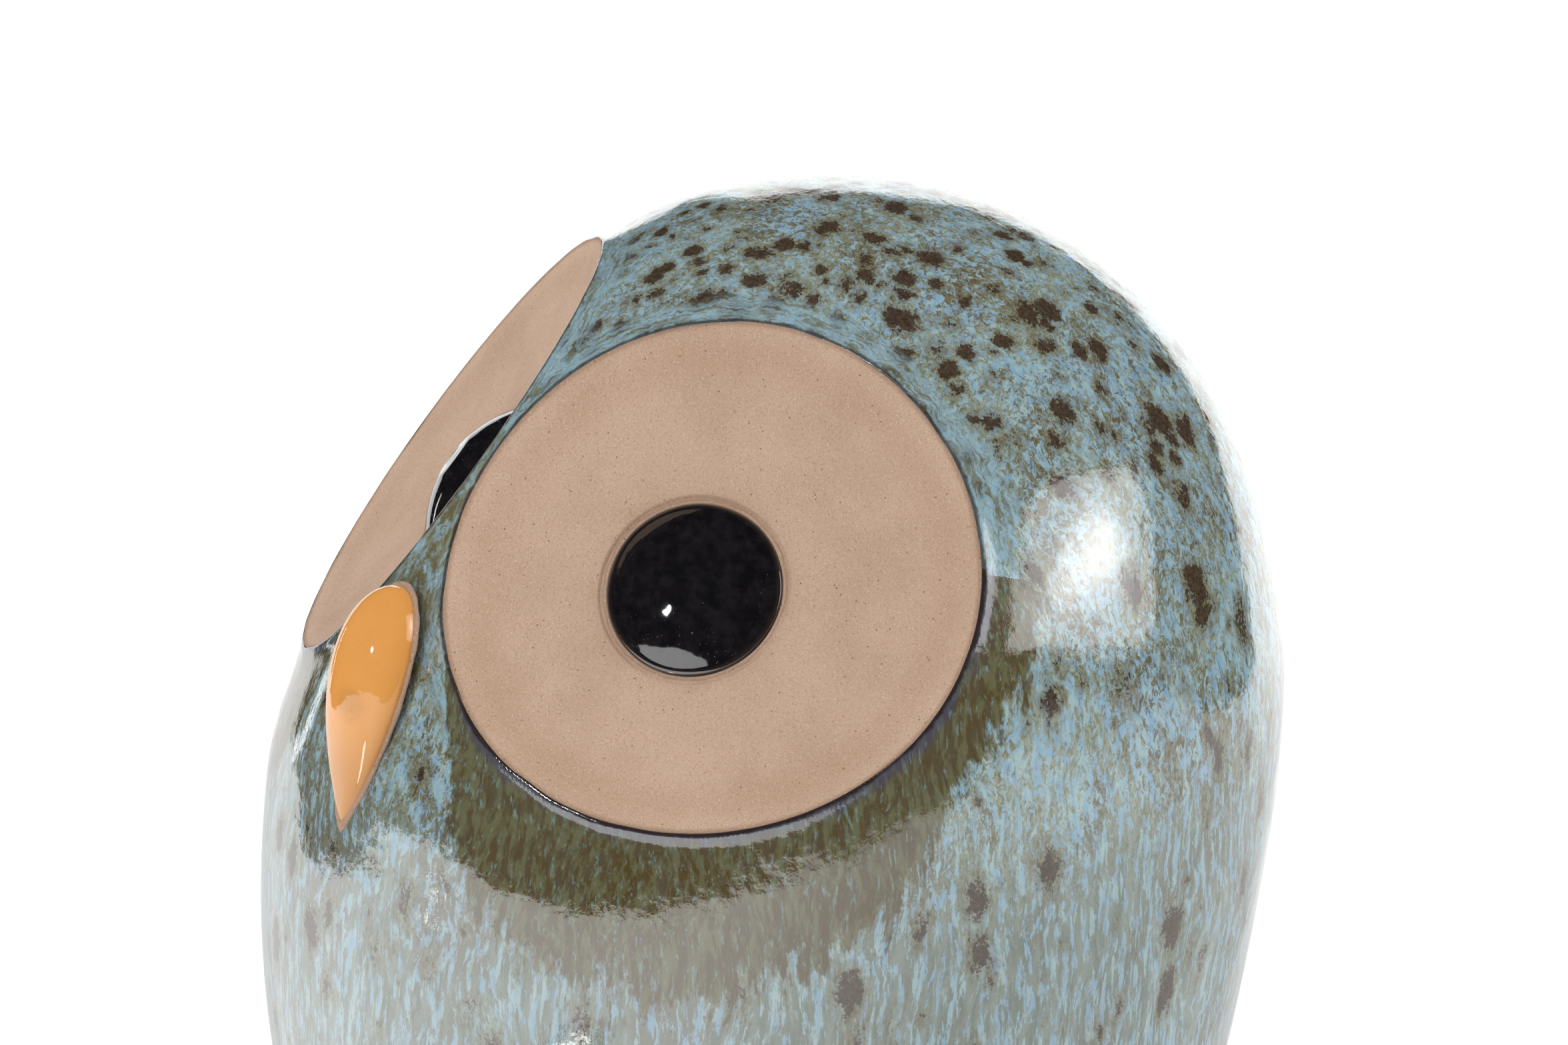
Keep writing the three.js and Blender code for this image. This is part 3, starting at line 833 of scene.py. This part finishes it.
class Nodes:
    """A short way to write a material's node tree. Lengths are in millimetres."""

    def __init__(self, name):
        self.material = bpy.data.materials.new(name)
        self.material.use_nodes = True
        self.tree = self.material.node_tree
        self.tree.nodes.clear()
        metres = Wire(self, self.add("TexCoord").outputs["Object"])
        self.place = self.vector("MULTIPLY", metres, (1 / MM, 1 / MM, 1 / MM))

    def add(self, kind, inputs=None, **settings):
        node = self.tree.nodes.new("ShaderNode" + kind)
        for name, value in settings.items():
            setattr(node, name, value)
        for name, value in (inputs or {}).items():
            self.link(value, node.inputs[name])
        return node

    def link(self, source, target):
        if isinstance(source, Wire):
            self.tree.links.new(source.socket, target)
        elif isinstance(source, tuple) and len(target.default_value) == 4:
            target.default_value = (*source, 1.0)
        else:
            target.default_value = source

    def math(self, operation, *values):
        return Wire(self, self.add("Math", dict(enumerate(values)), operation=operation).outputs[0])

    def vector(self, operation, *values):
        node = self.add("VectorMath", dict(enumerate(values)), operation=operation)
        return Wire(self, node.outputs["Value" if operation == "DISTANCE" else "Vector"])

    def drawn_out(self, vector, rise):
        """Squeezes a place in height, so that patterns made from it are drawn out downwards."""
        return self.vector("MULTIPLY", vector, (1.0, 1.0, rise))

    def noise(self, place, scale, detail=2.0, roughness=0.5, distortion=0.0, output="Fac"):
        sockets = {"Vector": place, "Scale": scale, "Detail": detail}
        sockets |= {"Roughness": roughness, "Distortion": distortion}
        return Wire(self, self.add("TexNoise", sockets).outputs[output])

    def cells(self, place, scale, randomness=1.0):
        """How far the nearest cell point is, and the random colour of its cell."""
        node = self.add("TexVoronoi", {"Vector": place, "Scale": scale, "Randomness": randomness})
        return Wire(self, node.outputs["Distance"]), Wire(self, node.outputs["Color"])

    def warped(self, place, scale, amount, detail=2.0):
        colour = self.noise(place, scale, detail, output="Color")
        centred = self.vector("SUBTRACT", colour, (0.5, 0.5, 0.5))
        return self.vector("MULTIPLY_ADD", centred, (amount, amount, amount), place)

    def step(self, value, low, high):
        """0 below low, 1 above high, smooth between; falls instead if low is above high."""
        rises = low < high
        sockets = {"Value": value, "From Min": min(low, high), "From Max": max(low, high)}
        sockets |= {"To Min": 0.0 if rises else 1.0, "To Max": 1.0 if rises else 0.0}
        node = self.add("MapRange", sockets, interpolation_type="SMOOTHSTEP")
        return Wire(self, node.outputs["Result"])

    def mix(self, factor, first, second):
        node = self.add("Mix", {"Factor": factor, 6: first, 7: second}, data_type="RGBA")
        return Wire(self, node.outputs[2])

    def attribute(self, name):
        return Wire(self, self.add("Attribute", attribute_name=name).outputs["Fac"])

    def axis(self, vector, index):
        return Wire(self, self.add("SeparateXYZ", {0: vector}).outputs[index])

    def bump(self, height, depth, strength=1.0, normal=None):
        sockets = {"Strength": strength, "Distance": depth * MM, "Height": height}
        if normal:
            sockets["Normal"] = normal
        return Wire(self, self.add("Bump", sockets).outputs["Normal"])

    def show(self, shader):
        output = self.add("OutputMaterial")
        self.tree.links.new(shader.outputs[0], output.inputs["Surface"])
        return self.material

    def surface(self, colour, roughness, **other):
        """Ends a material with a surface. other names sockets, with _ for each space."""
        sockets = {"Base Color": colour, "Roughness": roughness}
        sockets |= {name.replace("_", " "): value for name, value in other.items()}
        return self.show(self.add("BsdfPrincipled", sockets))

    def glow(self, strength, colour=(1.0, 1.0, 1.0)):
        return self.show(self.add("Emission", {"Color": colour, "Strength": strength}))


def srgb(red, green, blue):
    """Linear colour of an sRGB triple from 0 to 255."""
    return tuple(
        c / 12.92 if c <= 0.04045 else ((c + 0.055) / 1.055) ** 2.4
        for c in (red / 255, green / 255, blue / 255)
    )


# ------------------------------------------------------------------ materials

GLAZE_IOR = 1.7
BEAK_IOR = 1.44


def iron_spots(n, place, spacing, smallest, spread, shift):
    """Ragged round spots. Returns how far inside a spot each point is, in parts of the spacing."""
    shifted = n.vector("ADD", place, (shift, shift * 0.7, -shift))
    distance, luck = n.cells(shifted, 1 / spacing, 0.85)
    lobes = n.noise(shifted, 0.75, 3.0, 0.6) - 0.5
    fringe = n.noise(shifted, 2.6, 4.0, 0.7) - 0.5
    return n.axis(luck, 0) * spread + smallest + lobes * 0.55 + fringe * 0.3 - distance


def mottled_ground(n, run, low, cloud, fibre):
    """Olive and brown mottling that turns to an even grey lower down."""
    pale = n.mix(n.step(cloud, 0.4, 0.62), srgb(138, 146, 130), srgb(110, 105, 82))
    dark = n.mix(n.step(cloud, 0.35, 0.6), srgb(118, 122, 102), srgb(88, 80, 56))
    ground = n.mix(n.step(fibre, 0.44, 0.54), dark, pale)
    veined = n.step(n.noise(run, 0.6, 5.0, 0.7), 0.38, 0.62)
    grey = n.mix(veined, srgb(100, 110, 104), srgb(122, 132, 126))
    grey = n.mix(n.step(cloud, 0.5, 0.68), grey, srgb(110, 112, 104))
    return n.mix(low * 0.85, ground, grey)


def with_spots(n, colour, drift, height, fibre):
    """The iron spots: small and close on the crown, larger and drawn out to the sides."""
    small = iron_spots(n, n.drawn_out(drift, 0.62), 4.5, 0.21, 0.22, 0.0)
    large = iron_spots(n, n.drawn_out(drift, 0.55), 7.0, 0.1, 0.27, 31.0)
    crown = n.step(n.noise(n.place, 0.05) * 36.0 + height, 166.0, 188.0)
    deep = n.math("MAXIMUM", small - (1 - crown) * 0.25, large)
    halo = n.step(deep, -0.22, 0.02)
    rust = n.mix(n.step(fibre, 0.45, 0.55), srgb(94, 85, 58), srgb(118, 119, 97))
    colour = n.mix(halo * 0.62, colour, rust)
    ragged = n.noise(n.place, 2.2, 5.0, 0.75) - 0.5
    heart = n.step(ragged * 0.5 + deep, 0.03, 0.09)
    worn = n.step(n.noise(n.place, 1.6, 4.0, 0.7), 0.4, 0.62)
    return n.mix(heart * 0.94, colour, n.mix(worn, srgb(52, 38, 28), srgb(74, 58, 44)))


def with_rim_lines(n, colour, rim, patches, run, height):
    """Lines of glaze that have flowed along each rim, and the ridge that is bare of blue."""
    aside = n.noise(n.place, 0.35, 3.0, 0.6) * 3.0 + rim
    along = n.attribute("turn_mm") * 0.1
    lines = n.noise(Wire(n, n.add("CombineXYZ", {0: aside, 1: along}).outputs[0]), 1.5, 4.0, 0.7)
    streaked = n.mix(n.step(lines, 0.4, 0.54), srgb(100, 100, 76), srgb(140, 172, 186))
    streaked = n.mix(n.step(lines, 0.58, 0.64), streaked, srgb(120, 124, 102))
    colour = n.mix(n.step(patches * -7.0 + rim, 1.8, -0.4) * 0.62, colour, streaked)
    middle = n.step(n.math("ABSOLUTE", n.axis(n.place, 0)), 9.0, 3.0)
    ridge = middle * n.step(n.axis(n.place, 1), -20.0, -40.0)
    ridge = ridge * n.step(height, 172.0, 158.0) * n.step(height, 122.0, 138.0)
    ridge = ridge * n.step(n.noise(run, 0.5, 4.0, 0.7), 0.6, 0.44)
    return n.mix(ridge, colour, n.mix(n.step(lines, 0.45, 0.62), srgb(98, 92, 66), srgb(126, 130, 108)))


def with_run_off(n, colour, rim, flow, run):
    """The run-off under each disc, and the dark edge of the glaze against the clay."""
    share = n.attribute("runoff")
    wander = n.noise(run, 0.4, 5.0, 0.68)
    band = n.step(n.noise(flow, 0.55, 5.0, 0.7) * 0.7 + share + wander, 1.2, 1.33)
    brown = n.step(n.noise(run, 0.9, 4.0, 0.65), 0.44, 0.6)
    olive = n.mix(brown, srgb(80, 67, 41), srgb(96, 94, 66))
    drips = n.step(n.noise(run, 1.5, 5.0, 0.7), 0.55, 0.66) * 0.8
    colour = n.mix(band * 0.95, colour, n.mix(drips, olive, srgb(110, 134, 128)))
    lowest = n.step(share, 0.7, 1.0)
    violet = n.step(wander * 3.0 + rim, 3.6, 2.2) * lowest
    colour = n.mix(violet * 0.55, colour, srgb(62, 66, 96))
    width = n.noise(n.place, 0.5, 3.0, 0.6) * 0.9 + rim
    return n.mix(n.step(width, 1.15, 0.75) * (lowest * 0.2 + 0.8), colour, srgb(46, 38, 38))


def reactive_glaze():
    """Light-blue rutile that has run over an olive-brown ground, with dark iron spots."""
    n = Nodes("reactive_glaze")
    rim = n.attribute("rim_mm")
    height = n.axis(n.place, 2)
    drift = n.warped(n.place, 0.04, 7.0)
    flow = n.drawn_out(drift, 0.5)
    run = n.drawn_out(drift, 0.18)
    low = n.step(height, 128.0, 104.0)
    cloud = n.noise(flow, 0.09, 4.0, 0.6)
    fibre = n.noise(n.warped(flow, 0.8, 1.4), 1.9, 5.0, 0.7, 0.5)
    ground = mottled_ground(n, run, low, cloud, fibre)

    # The rutile: a net of fine rivulets above, and long separate streaks below.
    net = n.noise(n.warped(flow, 0.8, 2.2, 3.0), 1.05, 6.0, 0.74, 0.8)
    patches = n.noise(flow, 0.1, 3.0, 0.6)
    streaks = n.noise(run, 0.95, 6.0, 0.72, 0.3)
    above = patches * 0.26 + net + streaks * 0.32 + 0.09
    below = streaks * 1.5 + net * 0.32 - 0.07
    amount = above * (1 - low) + below * low
    tint = n.step(n.noise(run, 0.9, 4.0, 0.65), 0.36, 0.64)
    blue = n.mix(tint, srgb(124, 162, 190), srgb(152, 178, 180))
    colour = n.mix(n.step(amount, 0.83, 0.93) * (0.92 - low * 0.22), ground, blue)

    colour = with_spots(n, colour, drift, height, fibre)
    colour = with_rim_lines(n, colour, rim, patches, run, height)
    colour = with_run_off(n, colour, rim, flow, run)

    # Bare clay on the foot ring, in the recess and inside the bank.
    line = n.noise(n.place, 0.12) * 2.2 + height
    bare = n.math("MAXIMUM", n.step(line, 3.4, 2.9), n.attribute("inside"))
    clay = n.mix(n.noise(n.place, 2.0, 4.0, 0.7), srgb(166, 138, 114), srgb(196, 170, 146))
    colour = n.mix(bare, colour, clay)

    normal = n.bump(n.attribute("hollow") * -1.0, 1.1)
    normal = n.bump(n.noise(n.place, 0.14, 3.0), 0.3, 0.5, normal)
    normal = n.bump(n.noise(flow, 0.6, 4.0, 0.6), 0.05, 0.6, normal)
    normal = n.bump(n.noise(n.place, 2.6), 0.012, 0.5, normal)
    roughness = n.step(amount, 0.845, 0.93) * 0.06 + bare * 0.75 + 0.05
    return n.surface(colour, roughness, Normal=normal, IOR=GLAZE_IOR)


def bisque_clay():
    """Unglazed sandy clay, with painted shade towards the pupil and in a band inside the rim, and darker
    at the rim's very edge.
    """
    n = Nodes("bisque_clay")
    cloud = n.noise(n.place, 0.06, 3.0, 0.6)
    colour = n.mix(n.step(cloud, 0.3, 0.72), srgb(181, 152, 129), srgb(192, 163, 141))
    pupil = n.attribute("pupil_mm")
    # Painted shade: the clay is darker round the foot of the pupil dome.
    ring = n.step(cloud * 3.0 + pupil, 5.0, 1.2)
    colour = n.mix(ring * 0.3, colour, srgb(150, 118, 96))
    # Painted shadow in the groove pressed round the pupil.
    wobble = n.noise(n.place, 0.4) * 0.5 + pupil
    groove_shadow = n.step(wobble, 0.5, 0.7) * n.step(wobble, 1.0, 0.8)
    colour = n.mix(groove_shadow * 0.4, colour, srgb(116, 88, 68))
    rim = n.attribute("rim_mm")
    # Painted shade in a band a few millimetres inside the rim, where the dish curves.
    rim_band_shade = n.step(rim, 1.5, 4.0) * n.step(rim, 9.0, 5.0)
    colour = n.mix(rim_band_shade * 0.22, colour, srgb(164, 132, 108))
    colour = n.mix(n.step(rim, 0.9, 0.15) * 0.6, colour, srgb(138, 108, 88))
    sand = n.noise(n.place, 4.5, 3.0, 0.7)
    colour = n.mix(n.step(sand, 0.54, 0.72), colour, srgb(146, 114, 90))
    colour = n.mix(n.step(sand, 0.44, 0.26), colour, srgb(216, 192, 172))
    distance, luck = n.cells(n.place, 1.1)
    speck = n.step(distance, 0.17, 0.08) * n.step(n.axis(luck, 1), 0.8, 0.84)
    colour = n.mix(speck, colour, srgb(112, 84, 66))
    normal = n.bump(n.noise(n.place, 0.35, 3.0, 0.6), 0.2, 0.5)
    normal = n.bump(sand, 0.07, 0.8, normal)
    return n.surface(colour, 0.82, Normal=normal, Specular_IOR_Level=0.3)


def black_glaze():
    n = Nodes("black_glaze")
    mottle = n.step(n.noise(n.place, 0.5, 4.0, 0.65), 0.35, 0.7)
    colour = n.mix(mottle, srgb(16, 15, 17), srgb(30, 28, 30))
    thin = n.step(n.attribute("edge_mm"), 0.9, 0.1)
    colour = n.mix(thin * 0.7, colour, srgb(52, 44, 40))
    pits = n.step(n.cells(n.place, 1.6)[0], 0.14, 0.03)
    normal = n.bump(n.noise(n.place, 0.3), 0.08, 0.5)
    normal = n.bump(pits, -0.02, 0.7, normal)
    roughness = n.noise(n.place, 2.5, 3.0, 0.6) * 0.06 + 0.02
    return n.surface(colour, roughness, Normal=normal, IOR=GLAZE_IOR)


def orange_glaze():
    n = Nodes("orange_glaze")
    cloud = n.noise(n.drawn_out(n.place, 0.5), 0.16, 4.0, 0.6)
    colour = n.mix(cloud, srgb(222, 157, 86), srgb(211, 144, 72))
    # Painted shade: darker orange towards the lower tip of the beak, which faces down.
    tip_shade = n.step(cloud * 12.0 + n.axis(n.place, 2), 140.0, 120.0)
    colour = n.mix(tip_shade * 0.85, colour, srgb(176, 116, 38))
    flat = n.vector("MULTIPLY", n.place, (1.0, 0.0, 1.0))
    smudge = n.step(n.vector("DISTANCE", flat, (2.6, 0.0, 132.0)), 3.6, 0.6)
    colour = n.mix(smudge * 0.3, colour, srgb(150, 104, 52))
    thin = n.step(n.attribute("edge_mm"), 0.8, 0.1)
    colour = n.mix(thin * 0.55, colour, srgb(172, 112, 52))
    speck = n.step(n.cells(n.place, 0.9)[0], 0.1, 0.05)
    colour = n.mix(speck * 0.5, colour, srgb(160, 100, 44))
    normal = n.bump(n.noise(n.place, 0.4, 3.0), 0.1, 0.4)
    return n.surface(colour, 0.06, Normal=normal, IOR=BEAK_IOR)


def rubber_material():
    n = Nodes("stopper_rubber")
    cloud = n.noise(n.place, 0.3, 4.0, 0.6)
    colour = n.mix(cloud, srgb(38, 37, 38), srgb(58, 56, 55))
    normal = n.bump(n.noise(n.place, 2.5, 3.0, 0.6), 0.04, 0.6)
    return n.surface(colour, cloud * 0.2 + 0.55, Normal=normal)


# ------------------------------------------------------------------ camera, lights, stage

AIM = (0, 0, 0.13)  # the point of the bank that lamps and cards face
WHITE_GLOW = 3.2
WINDOW_GLOW = 3.6
CORE_GLOW = 8.0
FLOOR_GLOW = 0.55
WORLD_GLOW = 0.30
STUDIO_RADIUS = 4.0


def direction(azimuth, elevation, distance):
    """A point seen from the bank. Azimuth 0 is the owl's front and 90 its left."""
    a, e = math.radians(azimuth), math.radians(elevation)
    return (
        distance * math.cos(e) * math.sin(a),
        -distance * math.cos(e) * math.cos(a),
        AIM[2] + distance * math.sin(e),
    )


def look_at(obj, target):
    line = Vector(target) - obj.location
    obj.rotation_euler = line.to_track_quat("-Z", "Y").to_euler()


def add_camera():
    data = bpy.data.cameras.new("Camera")
    data.sensor_width = 36.0
    data.lens = 109.06
    data.clip_start = 0.02
    camera = bpy.data.objects.new("Camera", data)
    camera.location = (0.5258, -0.37796, 0.39614)
    look_at(camera, (0, 0.0033, 0.14053))
    bpy.context.scene.collection.objects.link(camera)
    bpy.context.scene.camera = camera


def add_area(name, place, size, power, shape="RECTANGLE", mirrored=False):
    data = bpy.data.lights.new(name, "AREA")
    data.shape = shape
    data.size, data.size_y = size
    data.energy = power
    light = bpy.data.objects.new(name, data)
    light.location = direction(*place)
    look_at(light, AIM)
    light.visible_glossy = mirrored
    bpy.context.scene.collection.objects.link(light)


def stage_mesh(name, points, faces, material):
    mesh = bpy.data.meshes.new(name)
    mesh.from_pydata(points, [], faces)
    mesh.materials.append(material)
    obj = bpy.data.objects.new(name, mesh)
    bpy.context.scene.collection.objects.link(obj)
    return obj


def round_outline(radius, height, count):
    angles = [2 * math.pi * i / count for i in range(count)]
    return [(radius * math.cos(a), radius * math.sin(a), height) for a in angles]


def only_seen_by(obj, camera=False, glossy=False):
    obj.visible_camera = camera
    obj.visible_diffuse = False
    obj.visible_glossy = glossy
    obj.visible_transmission = False
    obj.visible_shadow = False


def glow_card(name, place, size, strength, soft, core=0.0, turn=0.0):
    """A card facing the bank that only glossy surfaces see: an even glow and a brighter core."""
    n = Nodes(name)
    x, y = (n.math("ABSOLUTE", n.axis(n.place, index)) for index in (0, 1))
    width, height = size[0] / MM, size[1] / MM
    edge = n.step(x, width / 2, width / 2 - soft) * n.step(y, height / 2, height / 2 - soft)
    middle = n.step(x, width * 0.36, 0.0) * n.step(y, height * 0.4, 0.0)
    material = n.glow(edge * (middle * core + strength))
    w, h = size[0] / 2, size[1] / 2
    corners = [(-w, -h, 0), (w, -h, 0), (w, h, 0), (-w, h, 0)]
    card = stage_mesh(name, corners, [(0, 1, 2, 3)], material)
    card.location = direction(*place)
    look_at(card, AIM)
    card.rotation_euler.rotate_axis("Z", math.radians(turn))
    only_seen_by(card, glossy=True)


# Up to what elevation the studio is white, by azimuth, in degrees.
WHITE_UP_TO = (
    (-180, -6), (-175, 0), (-168, 3), (-163, 6), (-158, 11), (-150, 15), (-143, 19), (-130, 22),
    (-119, 20), (-116, 7), (-105, 5), (-93, 0), (-88, -15), (-66, -18), (-51, -15.5), (-33, -10),
    (-20, -6), (-8, -4), (2, -3), (12, -3), (20, -2), (28, -3), (41, -6), (59, -12), (67, -14),
    (95, -13), (103, -9), (112, -1), (118, 1), (131, -2), (140, -6), (155, -14), (170, -17), (180, -17),
)
WHITE_DISTANCE = 1.5
WALL_ROWS = 12
WALL_FOOT = -88  # the elevation that the wall starts from


def whiteness(azimuth, elevation):
    """How bright the white is: dimmer to the right, and on the floor behind the bank."""

    def rise(low, high, value):
        return float(smoothstep(low, high, value))

    side = 0.9 - 0.48 * rise(30, 90, azimuth) - 0.34 * rise(-45, -75, azimuth)
    behind = rise(80, 100, abs(azimuth))
    lifted = rise(-30, -12, elevation)
    if azimuth > 0:
        back = 0.33 + 0.13 * lifted - 0.33 * rise(-17, -2, elevation)
    else:
        back = 0.26 + lifted * (0.12 + 0.44 * rise(-108, -125, azimuth))
    return side * (1 - behind) + back * behind


def white_wall():
    """The white part of the studio, as the glaze mirrors it."""
    points, faces, glow = [], [], []
    for azimuth, top in WHITE_UP_TO:
        for row in range(WALL_ROWS):
            elevation = WALL_FOOT + (row / (WALL_ROWS - 1)) ** 0.6 * (top - WALL_FOOT)
            points.append(direction(azimuth, elevation, WHITE_DISTANCE))
            glow.append(whiteness(azimuth, elevation))
    for i in range(len(WHITE_UP_TO) - 1):
        for k in range(WALL_ROWS - 1):
            a = WALL_ROWS * i + k
            faces.append((a, a + WALL_ROWS, a + WALL_ROWS + 1, a + 1))
    n = Nodes("white_wall")
    wall = stage_mesh("white_wall", points, faces, n.glow(n.attribute("glow") * WHITE_GLOW))
    wall.data.attributes.new("glow", "FLOAT", "POINT").data.foreach_set("value", glow)
    only_seen_by(wall, glossy=True)


def surround():
    """A pale dome that only the camera sees."""
    count = 48
    points, faces = [], []
    for height, radius in ((-0.01, STUDIO_RADIUS), (2.0, STUDIO_RADIUS), (3.4, 2.6), (4.0, 0.01)):
        points += round_outline(radius, height, count)
    for ring in range(3):
        for i in range(count):
            a, b = ring * count + i, ring * count + (i + 1) % count
            faces.append((b, a, a + count, b + count))
    material = Nodes("surround").glow(1.0, (0.93, 0.94, 0.95))
    only_seen_by(stage_mesh("surround", points, faces, material), camera=True)


def add_stage():
    """A pale floor, a pale surround, and the bright sheet and cards that the glaze mirrors."""
    white = (1.0, 1.0, 1.0)
    pale = Nodes("studio_floor").surface(
        (0.8, 0.8, 0.8), 0.8, Specular_IOR_Level=0.0, Emission_Color=white, Emission_Strength=FLOOR_GLOW
    )
    count = 96
    floor = stage_mesh("floor", round_outline(STUDIO_RADIUS, 0.0, count), [range(count)], pale)
    floor.visible_glossy = False
    surround()
    white_wall()
    glow_card("window_pane", (130, 25, 1.1), (0.70, 0.70), WINDOW_GLOW, 50, CORE_GLOW, -32.0)
    glow_card("low_lamp", (19, -30, 0.6), (0.10, 0.20), 18.0, 40)
    glow_card("low_lamp_left", (-19, -13, 0.9), (0.05, 0.05), 12.0, 20)
    glow_card("left_strip", (-79, -9, 1.2), (0.06, 0.36), 5.0, 25)


def add_world():
    world = bpy.data.worlds.new("studio")
    world.use_nodes = True
    background = world.node_tree.nodes["Background"]
    background.inputs["Color"].default_value = (1, 1, 1, 1)
    background.inputs["Strength"].default_value = WORLD_GLOW
    world.cycles_visibility.glossy = False
    bpy.context.scene.world = world


add_camera()
add_stage()
add_world()
add_area("spot", (9, 22, 1.2), (0.08, 0.08), 3.0, "DISK", mirrored=True)
add_area("fill_front", (8, 42, 1.3), (1.2, 1.0), 4.2)
add_area("fill_top", (-100, 72, 1.4), (1.4, 1.4), 9.5)
add_area("fill_left", (-80, 25, 1.3), (1.0, 1.0), 2.0)
add_area("fill_right", (131, 27, 1.1), (0.6, 0.8), 6.0)
bpy.context.scene.view_settings.view_transform = "Standard"

build_body(reactive_glaze())
clay, black = bisque_clay(), black_glaze()
for face_side, face_word in ((1, "left"), (-1, "right")):
    build_disc(face_side, face_word, clay)
    build_pupil(face_side, face_word, black)
build_beak(orange_glaze())
build_beak_seam(clay)
build_stopper(rubber_material())
